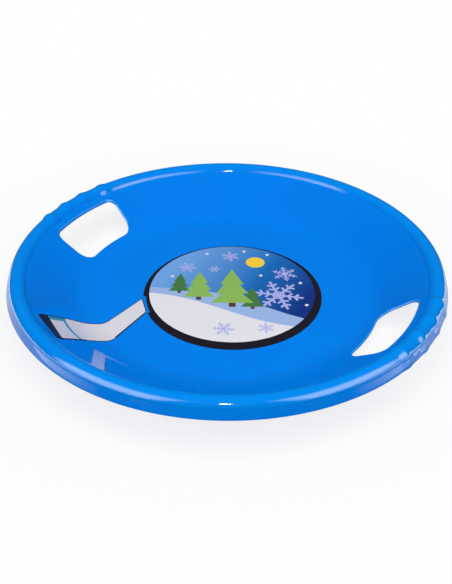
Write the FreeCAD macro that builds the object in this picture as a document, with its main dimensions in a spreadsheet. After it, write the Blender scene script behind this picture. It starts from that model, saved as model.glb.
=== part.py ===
import FreeCAD, Part

import math
import os

import Sketcher

# Saucer sled: a round moulded dish to sit in, with a raised rim, two hand slots with finger ribs
# beside them, a round film in the middle of the floor and a bent strip of film up the wall.
# Millimetres and degrees. The dish lies on its flat floor, +Z is up, and +X runs through one slot.

SIZES = (
    # Rim, from the outside in.
    ("rim_radius", 300.0),
    ("skirt_flare", 4.4),
    ("skirt_drop", 11.4),
    ("skirt_edge_round", 0.9),
    ("crease_tilt", 4.0),
    ("crown_round", 10.75),
    ("crown_lean", 15.0),
    ("crown_inner_round", 14.0),
    ("flank_kick", 19.1),
    ("flank_length", 2.65),
    ("foot_round", 5.0),
    # Dish.
    ("wall_thick", 3.0),
    ("wall_angle", 37.9),
    ("dish_depth", 63.7),
    ("blend_radius", 77.0),
    # The largest edge round, as a share of the wall that it eases.
    ("edge_share", 0.45),
    # Hand slots.
    ("slot_rim_gap", 7.6),
    ("slot_width", 49.3),
    ("slot_angle", 28.5),
    ("slot_corner_outer", 11.0),
    ("slot_corner_inner", 20.0),
    ("slot_edge_round", 1.2),
    ("slot_count", 2),
    # Finger ribs.
    ("rib_height", 2.1),
    ("rib_sink", 0.8),
    ("rib_width", 26.0),
    ("rib_pitch", 7.75),
    ("rib_shift", -1.8),
    ("rib_count", 4),
    ("rib_bend", 6.0),
    ("rib_tail", 6.6),
    # Films, and the glue under them.
    ("film_thick", 0.3),
    ("glue_gap", 0.2),
    # Round film on the floor.
    ("disc_margin", 49.2),
    ("disc_shift_x", 8.0),
    ("disc_shift_y", 1.6),
    ("notch_depth", 3.8),
    ("notch_side_gap", 1.2),
    # Bent strip of film, angles about Z.
    ("strip_end_gap", 3.6),
    ("strip_end_angle", 225.0),
    ("strip_end_spread", 15.8),
    ("strip_bend_inset", 13.6),
    ("strip_bend_angle", 238.8),
    ("strip_bend_spread", 13.8),
    ("strip_bend_round", 110.0),
    ("strip_top_gap", 5.3),
    ("strip_top_angle", 244.6),
    ("strip_top_spread", 12.8),
    ("strip_corner", 4.0),
)

# Lengths within this of each other are taken as the same, in millimetres.
SAME = 0.01

doc = FreeCAD.newDocument("SaucerSled")
dims = doc.addObject("Spreadsheet::Sheet", "dims")
for row, (alias, value) in enumerate(SIZES, start=1):
    dims.set(f"A{row}", alias)
    dims.set(f"B{row}", str(value))
    dims.setAlias(f"B{row}", alias)
doc.recompute()

size = {alias: float(dims.get(alias)) for alias, value in SIZES}

# Places that several pieces share, each written as an expression of the sheet's sizes.
# The crown is the round top of the rim, fuller on its inner side. The foot is where the rim rises from
# the dish wall, and the crease is the inward line between the crown and the flared skirt under it.
WALL = "(dims.wall_angle * 1 deg)"
FLANK = "((dims.wall_angle + dims.flank_kick) * 1 deg)"
TILT = "(dims.crease_tilt * 1 deg)"
LEAN = "(dims.crown_lean * 1 deg)"
CREASE_R = "(dims.rim_radius - dims.skirt_flare)"
CROWN_R = f"({CREASE_R} - dims.crown_round * cos({TILT}))"
CROWN_Z = "(dims.wall_thick + dims.dish_depth - dims.crown_round)"
CREASE_Z = f"({CROWN_Z} + dims.crown_round * sin({TILT}))"
SKIRT_Z = f"({CREASE_Z} - dims.skirt_drop)"
FULLER = "(dims.crown_inner_round - dims.crown_round)"
INNER_R = f"({CROWN_R} + {FULLER} * sin({LEAN}))"
INNER_Z = f"({CROWN_Z} - {FULLER} * cos({LEAN}))"
ROUNDS = "(dims.crown_inner_round + dims.foot_round)"
KNEE_R = f"({INNER_R} - {ROUNDS} * sin({FLANK}) - dims.flank_length * cos({FLANK}))"
KNEE_Z = f"({INNER_Z} + {ROUNDS} * cos({FLANK}) - dims.flank_length * sin({FLANK}))"
FOOT_R = f"({KNEE_R} + dims.foot_round * sin({WALL}))"
FOOT_Z = f"({KNEE_Z} - dims.foot_round * cos({WALL}))"
BLEND_RISE = f"(dims.blend_radius * (1 - cos({WALL})))"
WALL_RUN = f"(({FOOT_Z} - dims.wall_thick - {BLEND_RISE}) / tan({WALL}))"
FLOOR_R = f"({FOOT_R} - {WALL_RUN} - dims.blend_radius * sin({WALL}))"
SEAT_Z = "(dims.wall_thick + dims.glue_gap)"
SLOT_OUT = f"({FOOT_R} - dims.slot_rim_gap)"
SLOT_IN = f"({SLOT_OUT} - dims.slot_width)"
DISC_R = f"({FLOOR_R} - dims.disc_margin)"
RIB_ROUND = "(((dims.rib_width / 2) ^ 2 / (dims.rib_height + dims.rib_sink)" \
            " + dims.rib_height + dims.rib_sink) / 2)"


# The same places as numbers, to start each sketch near its solution.
def deg_sin(angle):
    return math.sin(math.radians(angle))


def deg_cos(angle):
    return math.cos(math.radians(angle))


flank = size["wall_angle"] + size["flank_kick"]
tilt = size["crease_tilt"]
lean = size["crown_lean"]
crease_r = size["rim_radius"] - size["skirt_flare"]
crown_r = crease_r - size["crown_round"] * deg_cos(tilt)
crown_z = size["wall_thick"] + size["dish_depth"] - size["crown_round"]
crease_z = crown_z + size["crown_round"] * deg_sin(tilt)
skirt_z = crease_z - size["skirt_drop"]
fuller = size["crown_inner_round"] - size["crown_round"]
inner_r = crown_r + fuller * deg_sin(lean)
inner_z = crown_z - fuller * deg_cos(lean)
rounds = size["crown_inner_round"] + size["foot_round"]
knee_r = inner_r - rounds * deg_sin(flank) - size["flank_length"] * deg_cos(flank)
knee_z = inner_z + rounds * deg_cos(flank) - size["flank_length"] * deg_sin(flank)
foot_r = knee_r + size["foot_round"] * deg_sin(size["wall_angle"])
foot_z = knee_z - size["foot_round"] * deg_cos(size["wall_angle"])
blend_rise = size["blend_radius"] * (1 - deg_cos(size["wall_angle"]))
wall_tan = math.tan(math.radians(size["wall_angle"]))
wall_run = (foot_z - size["wall_thick"] - blend_rise) / wall_tan
floor_r = foot_r - wall_run - size["blend_radius"] * deg_sin(size["wall_angle"])
slot_out = foot_r - size["slot_rim_gap"]
slot_in = slot_out - size["slot_width"]
disc_r = floor_r - size["disc_margin"]
rib_full = size["rib_height"] + size["rib_sink"]
rib_round = ((size["rib_width"] / 2) ** 2 / rib_full + rib_full) / 2

ORIGIN = (-1, 1)
START, END, CENTRE = range(1, 4)


def new_body(name):
    body = doc.addObject("PartDesign::Body", name)
    body.Label = name
    return body


def new_sketch(body, role, name):
    sketch = body.newObject("Sketcher::SketchObject", name)
    plane = [f for f in body.Origin.OriginFeatures if f.Role == role][0]
    sketch.AttachmentSupport = [(plane, "")]
    sketch.MapMode = "FlatFace"
    return sketch


def line(sketch, first, last):
    segment = Part.LineSegment(FreeCAD.Vector(*first, 0), FreeCAD.Vector(*last, 0))
    return sketch.addGeometry(segment, False)


def arc(sketch, centre, radius, first_angle, last_angle):
    circle = Part.Circle(FreeCAD.Vector(*centre, 0), FreeCAD.Vector(0, 0, 1), radius)
    ends = math.radians(first_angle), math.radians(last_angle)
    return sketch.addGeometry(Part.ArcOfCircle(circle, *ends), False)


def rule(sketch, kind, *what):
    return sketch.addConstraint(Sketcher.Constraint(kind, *what))


def measure(sketch, expression, kind, *what):
    # A dimension whose value follows the sheet.
    index = sketch.addConstraint(Sketcher.Constraint(kind, *what))
    sketch.setExpression(f"Constraints[{index}]", expression)
    return index


def place(sketch, geometry, corner, at, expression_x, expression_y):
    measure(sketch, expression_x, "DistanceX", *ORIGIN, geometry, corner, at[0])
    measure(sketch, expression_y, "DistanceY", *ORIGIN, geometry, corner, at[1])


def on_circle(centre, radius, angle):
    return centre[0] + radius * deg_cos(angle), centre[1] + radius * deg_sin(angle)


def axis_of(body, role):
    return [f for f in body.Origin.OriginFeatures if f.Role == role][0]


# Dish: one moulding of even wall, drawn as its half section and turned about Z.
# From the middle out: flat floor, blend, straight wall, foot, flank, crown, crease, flared skirt.
shell = new_body("saucer_shell")
section = new_sketch(shell, "YZ_Plane", "dish_section")
wall = size["wall_thick"]
angle = size["wall_angle"]
blend_c = (floor_r, wall + size["blend_radius"])
knee_c = (knee_r, knee_z)
crown_c = (crown_r, crown_z)
inner_c = (inner_r, inner_z)
low = -90
top = 90 + lean
blend_end = on_circle(blend_c, size["blend_radius"], low + angle)
foot = on_circle(knee_c, size["foot_round"], low + angle)
knee_end = on_circle(knee_c, size["foot_round"], low + flank)
crown_in = on_circle(inner_c, size["crown_inner_round"], 90 + flank)
crease = (crease_r, crease_z)
skirt = (size["rim_radius"], skirt_z)
under_blend = on_circle(blend_c, size["blend_radius"] + wall, low + angle)
under_foot = on_circle(knee_c, size["foot_round"] + wall, low + angle)
under_knee = on_circle(knee_c, size["foot_round"] + wall, low + flank)
under_in = on_circle(inner_c, size["crown_inner_round"] - wall, 90 + flank)
under_crease = on_circle(crown_c, size["crown_round"] - wall, tilt)
floor_top = line(section, (0, wall), (floor_r, wall))
blend = arc(section, blend_c, size["blend_radius"], low, low + angle)
wall_top = line(section, blend_end, foot)
knee = arc(section, knee_c, size["foot_round"], low + angle, low + flank)
flank_top = line(section, knee_end, crown_in)
crown_inner = arc(section, inner_c, size["crown_inner_round"], top, 90 + flank)
crown = arc(section, crown_c, size["crown_round"], tilt, top)
skirt_out = line(section, crease, skirt)
skirt_foot = line(section, skirt, (skirt[0] - wall, skirt[1]))
skirt_in = line(section, (skirt[0] - wall, skirt[1]), under_crease)
crown_under = arc(section, crown_c, size["crown_round"] - wall, tilt, top)
inner_under = arc(section, inner_c, size["crown_inner_round"] - wall, top, 90 + flank)
flank_under = line(section, under_in, under_knee)
knee_under = arc(section, knee_c, size["foot_round"] + wall, low + angle, low + flank)
wall_under = line(section, under_foot, under_blend)
blend_under = arc(section, blend_c, size["blend_radius"] + wall, low, low + angle)
floor_under = line(section, (floor_r, 0), (0, 0))
middle = line(section, (0, 0), (0, wall))
for first, first_end, second, second_end in (
    (floor_top, END, blend, START),
    (blend, END, wall_top, START),
    (wall_top, END, knee, START),
    (knee, END, flank_top, START),
    (flank_top, END, crown_inner, END),
    (crown_inner, START, crown, END),
    (crown_under, END, inner_under, START),
    (inner_under, END, flank_under, START),
    (flank_under, END, knee_under, END),
    (knee_under, START, wall_under, START),
    (wall_under, END, blend_under, END),
    (blend_under, START, floor_under, START),
):
    rule(section, "Tangent", first, first_end, second, second_end)
for first, second in (
    (skirt_out, skirt_foot),
    (skirt_foot, skirt_in),
    (skirt_in, crown_under),
    (floor_under, middle),
    (middle, floor_top),
):
    rule(section, "Coincident", first, END, second, START)
rule(section, "Coincident", crown, START, skirt_out, START)
rule(section, "Coincident", middle, START, *ORIGIN)
for upper, lower in (
    (blend, blend_under),
    (knee, knee_under),
    (crown, crown_under),
    (crown_inner, inner_under),
):
    rule(section, "Coincident", upper, CENTRE, lower, CENTRE)
for level in (floor_top, floor_under, skirt_foot):
    rule(section, "Horizontal", level)
rule(section, "Vertical", middle)
rule(section, "Parallel", skirt_out, skirt_in)
measure(section, "dims.wall_thick", "DistanceY", middle, START, middle, END, wall)
measure(section, "dims.wall_thick", "Distance", skirt_in, START, skirt_out, wall)
measure(section, "dims.blend_radius", "Radius", blend, size["blend_radius"])
measure(section, "dims.foot_round", "Radius", knee, size["foot_round"])
measure(section, "dims.foot_round + dims.wall_thick", "Radius", knee_under, size["foot_round"] + wall)
measure(section, "dims.crown_round - dims.wall_thick", "Radius", crown_under, size["crown_round"] - wall)
measure(section, WALL, "Angle", wall_top, math.radians(angle))
place(section, knee, CENTRE, knee_c, KNEE_R, KNEE_Z)
place(section, crown, CENTRE, crown_c, CROWN_R, CROWN_Z)
place(section, crown_inner, CENTRE, inner_c, INNER_R, INNER_Z)
place(section, skirt_out, START, crease, CREASE_R, CREASE_Z)
place(section, skirt_out, END, skirt, "dims.rim_radius", SKIRT_Z)

dish = shell.newObject("PartDesign::Revolution", "dish")
dish.Profile = section
dish.ReferenceAxis = (section, ["V_Axis"])
dish.Angle = 360
doc.recompute()

# The skirt's lower edge is eased all round, outside and inside.
skirt_edges = []
for index, edge in enumerate(dish.Shape.Edges, start=1):
    level = edge.BoundBox
    if level.ZMax - level.ZMin < SAME and abs(level.ZMin - skirt_z) < SAME:
        skirt_edges.append(f"Edge{index}")
skirt_ease = shell.newObject("PartDesign::Fillet", "skirt_ease")
skirt_ease.Base = (dish, skirt_edges)
skirt_ease.setExpression("Radius", "min(dims.skirt_edge_round; dims.edge_share * dims.wall_thick)")
doc.recompute()

# Hand slot: part of a ring in plan, cut straight down as the mould draws, with four round corners.
slot_plan = new_sketch(shell, "XY_Plane", "slot_plan")
half = size["slot_angle"] / 2
out_c = slot_out - size["slot_corner_outer"]
in_c = slot_in + size["slot_corner_inner"]
out_turn = math.degrees(math.asin(size["slot_corner_outer"] / out_c))
in_turn = math.degrees(math.asin(size["slot_corner_inner"] / in_c))
out_run = math.sqrt(out_c ** 2 - size["slot_corner_outer"] ** 2)
in_run = math.sqrt(in_c ** 2 - size["slot_corner_inner"] ** 2)
axis_point = (0, 0)
outer = arc(slot_plan, axis_point, slot_out, out_turn - half, half - out_turn)
outer_left = arc(slot_plan, on_circle(axis_point, out_c, half - out_turn), size["slot_corner_outer"],
                 half - out_turn, half + 90)
side_left = line(slot_plan, on_circle(axis_point, out_run, half), on_circle(axis_point, in_run, half))
inner_left = arc(slot_plan, on_circle(axis_point, in_c, half - in_turn), size["slot_corner_inner"],
                 half + 90, half - in_turn + 180)
inner = arc(slot_plan, axis_point, slot_in, in_turn - half, half - in_turn)
inner_right = arc(slot_plan, on_circle(axis_point, in_c, in_turn - half), size["slot_corner_inner"],
                  in_turn - half + 180, 270 - half)
side_right = line(slot_plan, on_circle(axis_point, in_run, -half), on_circle(axis_point, out_run, -half))
outer_right = arc(slot_plan, on_circle(axis_point, out_c, out_turn - half), size["slot_corner_outer"],
                  270 - half, 360 + out_turn - half)
for first, first_end, second, second_end in (
    (outer, END, outer_left, START),
    (outer_left, END, side_left, START),
    (side_left, END, inner_left, START),
    (inner_left, END, inner, END),
    (inner, START, inner_right, START),
    (inner_right, END, side_right, START),
    (side_right, END, outer_right, START),
    (outer_right, END, outer, START),
):
    rule(slot_plan, "Tangent", first, first_end, second, second_end)
rule(slot_plan, "Coincident", outer, CENTRE, *ORIGIN)
rule(slot_plan, "Coincident", inner, CENTRE, *ORIGIN)
rule(slot_plan, "PointOnObject", *ORIGIN, side_left)
rule(slot_plan, "PointOnObject", *ORIGIN, side_right)
measure(slot_plan, SLOT_OUT, "Radius", outer, slot_out)
measure(slot_plan, SLOT_IN, "Radius", inner, slot_in)
for corner in (outer_left, outer_right):
    measure(slot_plan, "dims.slot_corner_outer", "Radius", corner, size["slot_corner_outer"])
for corner in (inner_left, inner_right):
    measure(slot_plan, "dims.slot_corner_inner", "Radius", corner, size["slot_corner_inner"])
measure(slot_plan, "(dims.slot_angle / 2 + 180) * 1 deg", "Angle", side_left, math.radians(half + 180))
measure(slot_plan, "-(dims.slot_angle / 2) * 1 deg", "Angle", side_right, math.radians(-half))

slot = shell.newObject("PartDesign::Pocket", "hand_slot")
slot.Profile = slot_plan
slot.Type = "ThroughAll"
slot.Midplane = True
doc.recompute()
slots = shell.newObject("PartDesign::PolarPattern", "hand_slots")
slots.Originals = [slot]
slots.Axis = (axis_of(shell, "Z_Axis"), [""])
slots.Angle = 360
slots.setExpression("Occurrences", "dims.slot_count")
shell.Tip = slots
doc.recompute()

# The rims of the slots are rounded above and below, for the hand.
slot_edges = []
for index, edge in enumerate(slots.Shape.Edges, start=1):
    reach = edge.BoundBox
    upright = max(reach.XMax - reach.XMin, reach.YMax - reach.YMin) < SAME
    all_round = edge.Length > slot_out * math.radians(size["slot_angle"])
    middle_point = edge.valueAt((edge.FirstParameter + edge.LastParameter) / 2)
    in_slot = slot_in - SAME < math.hypot(middle_point.x, middle_point.y) < slot_out + SAME
    if in_slot and not upright and not all_round:
        slot_edges.append(f"Edge{index}")
slot_ease = shell.newObject("PartDesign::Fillet", "slot_ease")
slot_ease.Base = (slots, slot_edges)
slot_ease.setExpression("Radius", "min(dims.slot_edge_round; dims.edge_share * dims.wall_thick)")
doc.recompute()

# Finger rib: a low round swelling drawn up the skirt, over the crown and down into the foot.
# Each grip's four ribs stand a little round from the middle of its slot.
first_turn = "(dims.rib_shift - (dims.rib_count - 1) / 2 * dims.rib_pitch) * 1 deg"
rib_turn = size["rib_shift"] - (size["rib_count"] - 1) / 2 * size["rib_pitch"]
rib_path = new_sketch(shell, "XZ_Plane", "rib_path")
rib_path.AttachmentOffset = FreeCAD.Placement(
    FreeCAD.Vector(), FreeCAD.Rotation(FreeCAD.Vector(0, 1, 0), rib_turn))
tail_run = size["flank_length"] + size["rib_tail"]
tail = (crown_in[0] - tail_run * deg_cos(flank), crown_in[1] - tail_run * deg_sin(flank))
# The crease bends inwards, so the rib's path rounds it on the outside: the round touches the skirt's
# line and the crown's circle, and its centre is found along the skirt's line moved out by the round.
skirt_bearing = math.degrees(math.atan2(crease[1] - skirt[1], crease[0] - skirt[0]))
beside = on_circle(crease, size["rib_bend"], skirt_bearing - 90)
reach_out = FreeCAD.Vector(beside[0] - crown_r, beside[1] - crown_z, 0)
reach_up = reach_out.dot(FreeCAD.Vector(*on_circle((0, 0), 1, skirt_bearing), 0))
touching = size["crown_round"] + size["rib_bend"]
back_run = reach_up + math.sqrt(reach_up ** 2 - reach_out.Length ** 2 + touching ** 2)
bend_c = on_circle(beside, -back_run, skirt_bearing)
bend_first = on_circle(crease, -back_run, skirt_bearing)
bend_last = math.degrees(math.atan2(bend_c[1] - crown_z, bend_c[0] - crown_r))
path_skirt = line(rib_path, skirt, bend_first)
path_bend = arc(rib_path, bend_c, size["rib_bend"], 180 + bend_last, 90 + skirt_bearing)
path_crown = arc(rib_path, crown_c, size["crown_round"], bend_last, top)
path_inner = arc(rib_path, inner_c, size["crown_inner_round"], top, 90 + flank)
path_flank = line(rib_path, crown_in, tail)
rule(rib_path, "Tangent", path_skirt, END, path_bend, END)
rule(rib_path, "Tangent", path_bend, START, path_crown, START)
rule(rib_path, "Tangent", path_crown, END, path_inner, START)
rule(rib_path, "Tangent", path_inner, END, path_flank, START)
crease_point = rib_path.addGeometry(Part.Point(FreeCAD.Vector(*crease, 0)), True)
rule(rib_path, "PointOnObject", crease_point, START, path_skirt)
place(rib_path, crease_point, START, crease, CREASE_R, CREASE_Z)
place(rib_path, path_skirt, START, skirt, "dims.rim_radius", SKIRT_Z)
place(rib_path, path_crown, CENTRE, crown_c, CROWN_R, CROWN_Z)
place(rib_path, path_inner, CENTRE, inner_c, INNER_R, INNER_Z)
measure(rib_path, "dims.crown_round", "Radius", path_crown, size["crown_round"])
measure(rib_path, "dims.rib_bend", "Radius", path_bend, size["rib_bend"])
measure(rib_path, f"180 deg + {FLANK}", "Angle", path_flank, math.radians(180 + flank))
measure(rib_path, "dims.flank_length + dims.rib_tail", "Distance", path_flank, tail_run)

rib_round_c = (skirt[0] + size["rib_height"] - rib_round, 0)
rib_spread = math.degrees(math.asin(size["rib_width"] / 2 / rib_round))
rib_plan = new_sketch(shell, "XY_Plane", "rib_plan")
rib_plan.AttachmentOffset = FreeCAD.Placement(
    FreeCAD.Vector(0, 0, skirt_z), FreeCAD.Rotation(FreeCAD.Vector(0, 0, 1), rib_turn))
rib_plan.setExpression("AttachmentOffset.Base.z", SKIRT_Z)
rib_face = arc(rib_plan, rib_round_c, rib_round, -rib_spread, rib_spread)
rib_back = line(rib_plan, on_circle(rib_round_c, rib_round, rib_spread),
                on_circle(rib_round_c, rib_round, -rib_spread))
rule(rib_plan, "Coincident", rib_face, END, rib_back, START)
rule(rib_plan, "Coincident", rib_face, START, rib_back, END)
rule(rib_plan, "Vertical", rib_back)
rule(rib_plan, "PointOnObject", rib_face, CENTRE, -1)
measure(rib_plan, RIB_ROUND, "Radius", rib_face, rib_round)
measure(rib_plan, f"dims.rim_radius + dims.rib_height - {RIB_ROUND}", "DistanceX", *ORIGIN, rib_face, CENTRE,
        rib_round_c[0])
measure(rib_plan, "dims.rim_radius - dims.rib_sink", "DistanceX", *ORIGIN, rib_back, START,
        skirt[0] - size["rib_sink"])
for sketch in (rib_path, rib_plan):
    sketch.setExpression("AttachmentOffset.Rotation.Angle", first_turn)
doc.recompute()

rib = shell.newObject("PartDesign::AdditivePipe", "finger_rib")
rib.Profile = rib_plan
rib.Spine = (rib_path, [f"Edge{index}" for index in range(1, len(rib_path.Shape.Edges) + 1)])
doc.recompute()
ribs = shell.newObject("PartDesign::MultiTransform", "finger_ribs")
along = shell.newObject("PartDesign::PolarPattern", "ribs_of_one_grip")
along.Axis = (axis_of(shell, "Z_Axis"), [""])
along.setExpression("Angle", "(dims.rib_count - 1) * dims.rib_pitch * 1 deg")
along.setExpression("Occurrences", "dims.rib_count")
across = shell.newObject("PartDesign::PolarPattern", "ribs_of_each_grip")
across.Axis = (axis_of(shell, "Z_Axis"), [""])
across.Angle = 360
across.setExpression("Occurrences", "dims.slot_count")
ribs.Originals = [rib]
ribs.Transformations = [along, across]
shell.Tip = ribs
doc.recompute()

# Round film on the floor: a disc a little off the middle, with a shallow notch for the strip's end.
disc = new_body("centre_sticker")
disc_plan = new_sketch(disc, "XY_Plane", "disc_plan")
seat_z = wall + size["glue_gap"]
disc_plan.AttachmentOffset = FreeCAD.Placement(FreeCAD.Vector(0, 0, seat_z), FreeCAD.Rotation())
disc_plan.setExpression("AttachmentOffset.Base.z", SEAT_Z)
disc_c = (size["disc_shift_x"], size["disc_shift_y"])
notch_mid = size["strip_end_angle"]
notch_half = size["strip_end_spread"] / 2 + size["notch_side_gap"]
notch_r = disc_r - size["notch_depth"]
edge_arc = arc(disc_plan, disc_c, disc_r, notch_mid + notch_half - 360, notch_mid - notch_half)
notch_first = line(disc_plan, on_circle(disc_c, disc_r, notch_mid - notch_half),
                   on_circle(disc_c, notch_r, notch_mid - notch_half))
notch_arc = arc(disc_plan, disc_c, notch_r, notch_mid - notch_half, notch_mid + notch_half)
notch_last = line(disc_plan, on_circle(disc_c, notch_r, notch_mid + notch_half),
                  on_circle(disc_c, disc_r, notch_mid + notch_half))
rule(disc_plan, "Coincident", edge_arc, END, notch_first, START)
rule(disc_plan, "Coincident", notch_first, END, notch_arc, START)
rule(disc_plan, "Coincident", notch_arc, END, notch_last, START)
rule(disc_plan, "Coincident", notch_last, END, edge_arc, START)
rule(disc_plan, "Coincident", notch_arc, CENTRE, edge_arc, CENTRE)
rule(disc_plan, "PointOnObject", edge_arc, CENTRE, notch_first)
rule(disc_plan, "PointOnObject", edge_arc, CENTRE, notch_last)
place(disc_plan, edge_arc, CENTRE, disc_c, "dims.disc_shift_x", "dims.disc_shift_y")
measure(disc_plan, DISC_R, "Radius", edge_arc, disc_r)
measure(disc_plan, f"{DISC_R} - dims.notch_depth", "Radius", notch_arc, notch_r)
NOTCH_HALF = "(dims.strip_end_spread / 2 + dims.notch_side_gap)"
measure(disc_plan, f"(dims.strip_end_angle - {NOTCH_HALF} + 180) * 1 deg", "Angle", notch_first,
        math.radians(notch_mid - notch_half + 180))
measure(disc_plan, f"(dims.strip_end_angle + {NOTCH_HALF}) * 1 deg", "Angle", notch_last,
        math.radians(notch_mid + notch_half))
disc_pad = disc.newObject("PartDesign::Pad", "disc_film")
disc_pad.Profile = disc_plan
disc_pad.setExpression("Length", "dims.film_thick")
doc.recompute()

# Bent strip of film: a thin layer on the floor, blend and wall, trimmed to the strip's outline.
strip = new_body("info_label")
layer = new_sketch(strip, "YZ_Plane", "layer_section")
glue = size["glue_gap"]
film_top = glue + size["film_thick"]
glued_foot = on_circle(foot, glue, angle + 90)
glued_end = on_circle(blend_end, glue, angle + 90)
top_foot = on_circle(foot, film_top, angle + 90)
top_end = on_circle(blend_end, film_top, angle + 90)
layer_floor = line(layer, (0, seat_z), (floor_r, seat_z))
layer_blend = arc(layer, blend_c, size["blend_radius"] - glue, low, low + angle)
layer_wall = line(layer, glued_end, glued_foot)
layer_edge = line(layer, glued_foot, top_foot)
layer_wall_top = line(layer, top_foot, top_end)
layer_blend_top = arc(layer, blend_c, size["blend_radius"] - film_top, low, low + angle)
layer_floor_top = line(layer, (floor_r, wall + film_top), (0, wall + film_top))
layer_middle = line(layer, (0, wall + film_top), (0, seat_z))
rule(layer, "Tangent", layer_floor, END, layer_blend, START)
rule(layer, "Tangent", layer_blend, END, layer_wall, START)
rule(layer, "Coincident", layer_wall, END, layer_edge, START)
rule(layer, "Coincident", layer_edge, END, layer_wall_top, START)
rule(layer, "Tangent", layer_wall_top, END, layer_blend_top, END)
rule(layer, "Tangent", layer_blend_top, START, layer_floor_top, START)
rule(layer, "Coincident", layer_floor_top, END, layer_middle, START)
rule(layer, "Coincident", layer_middle, END, layer_floor, START)
rule(layer, "Coincident", layer_blend, CENTRE, layer_blend_top, CENTRE)
rule(layer, "Horizontal", layer_floor)
rule(layer, "Horizontal", layer_floor_top)
rule(layer, "PointOnObject", layer_floor, START, -2)
rule(layer, "Vertical", layer_middle)
rule(layer, "Perpendicular", layer_edge, layer_wall)
GLUED_ROUND = "dims.blend_radius - dims.glue_gap"
measure(layer, SEAT_Z, "DistanceY", *ORIGIN, layer_floor, START, seat_z)
measure(layer, GLUED_ROUND, "Radius", layer_blend, size["blend_radius"] - glue)
measure(layer, f"{GLUED_ROUND} - dims.film_thick", "Radius", layer_blend_top,
        size["blend_radius"] - film_top)
measure(layer, WALL, "Angle", layer_wall, math.radians(angle))
place(layer, layer_wall, END, glued_foot, f"{FOOT_R} - dims.glue_gap * sin({WALL})",
      f"{FOOT_Z} + dims.glue_gap * cos({WALL})")
layer_turn = strip.newObject("PartDesign::Revolution", "film_layer")
layer_turn.Profile = layer
layer_turn.ReferenceAxis = (layer, ["V_Axis"])
layer_turn.Angle = 360
doc.recompute()

# Outline of the strip in plan: an end in the disc's notch, a soft bend at the edge of the floor and a
# wider end below the rim. Everything outside the outline is cut away.
end_r = disc_r - size["notch_depth"] + size["strip_end_gap"]
bend_r = floor_r - size["strip_bend_inset"]
top_r = foot_r - size["strip_top_gap"]
END_R = f"({DISC_R} - dims.notch_depth + dims.strip_end_gap)"
BEND_R = f"({FLOOR_R} - dims.strip_bend_inset)"
TOP_R = f"({FOOT_R} - dims.strip_top_gap)"
outline = []
for centre, radius, kind, side in (
    (disc_c, end_r, "end", -1),
    (axis_point, bend_r, "bend", -1),
    (axis_point, top_r, "top", -1),
    (axis_point, top_r, "top", 1),
    (axis_point, bend_r, "bend", 1),
    (disc_c, end_r, "end", 1),
):
    at = size[f"strip_{kind}_angle"] + side * size[f"strip_{kind}_spread"] / 2
    turn = f"((dims.strip_{kind}_angle + {side} * dims.strip_{kind}_spread / 2) * 1 deg)"
    reach = {"end": END_R, "bend": BEND_R, "top": TOP_R}[kind]
    shift_x, shift_y = ("dims.disc_shift_x", "dims.disc_shift_y") if kind == "end" else ("0", "0")
    round_name = "strip_bend_round" if kind == "bend" else "strip_corner"
    outline.append((on_circle(centre, radius, at), f"{shift_x} + {reach} * cos({turn})",
                    f"{shift_y} + {reach} * sin({turn})", round_name))

trim = new_sketch(strip, "XY_Plane", "strip_plan")
corners = [FreeCAD.Vector(*entry[0], 0) for entry in outline]
count = len(corners)
lines = []
arcs = []
runs = []
for index in range(count):
    before = (corners[index - 1] - corners[index]).normalize()
    after = (corners[(index + 1) % count] - corners[index]).normalize()
    opening = before.getAngle(after)
    radius = size[outline[index][3]]
    run = radius / math.tan(opening / 2)
    middle_way = (before + after).normalize() * (radius / math.sin(opening / 2))
    runs.append((corners[index] + before * run, corners[index] + after * run, corners[index] + middle_way))
for index in range(count):
    start = runs[index - 1][1]
    finish = runs[index][0]
    lines.append(line(trim, (start.x, start.y), (finish.x, finish.y)))
for index in range(count):
    first, last, centre = runs[index]
    first_angle = math.degrees(math.atan2(first.y - centre.y, first.x - centre.x))
    last_angle = math.degrees(math.atan2(last.y - centre.y, last.x - centre.x))
    left_turn = (last_angle - first_angle) % 360 < 180
    ends = (first_angle, last_angle) if left_turn else (last_angle, first_angle)
    spread = (ends[1] - ends[0]) % 360
    arcs.append((arc(trim, (centre.x, centre.y), size[outline[index][3]], ends[0], ends[0] + spread),
                 (START, END) if left_turn else (END, START)))
for index in range(count):
    corner_arc, (arc_first, arc_last) = arcs[index]
    following = (index + 1) % count
    rule(trim, "Tangent", lines[index], END, corner_arc, arc_first)
    rule(trim, "Tangent", corner_arc, arc_last, lines[following], START)
    measure(trim, f"dims.{outline[index][3]}", "Radius", corner_arc, size[outline[index][3]])
    point = trim.addGeometry(Part.Point(corners[index]), True)
    rule(trim, "PointOnObject", point, START, lines[index])
    rule(trim, "PointOnObject", point, START, lines[following])
    place(trim, point, START, outline[index][0], outline[index][1], outline[index][2])
around = Part.Circle(FreeCAD.Vector(), FreeCAD.Vector(0, 0, 1), size["rim_radius"])
surround = trim.addGeometry(around, False)
rule(trim, "Coincident", surround, CENTRE, *ORIGIN)
measure(trim, "dims.rim_radius", "Radius", surround, size["rim_radius"])
strip_cut = strip.newObject("PartDesign::Pocket", "strip_trim")
strip_cut.Profile = trim
strip_cut.Type = "ThroughAll"
strip_cut.Midplane = True
doc.recompute()

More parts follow.
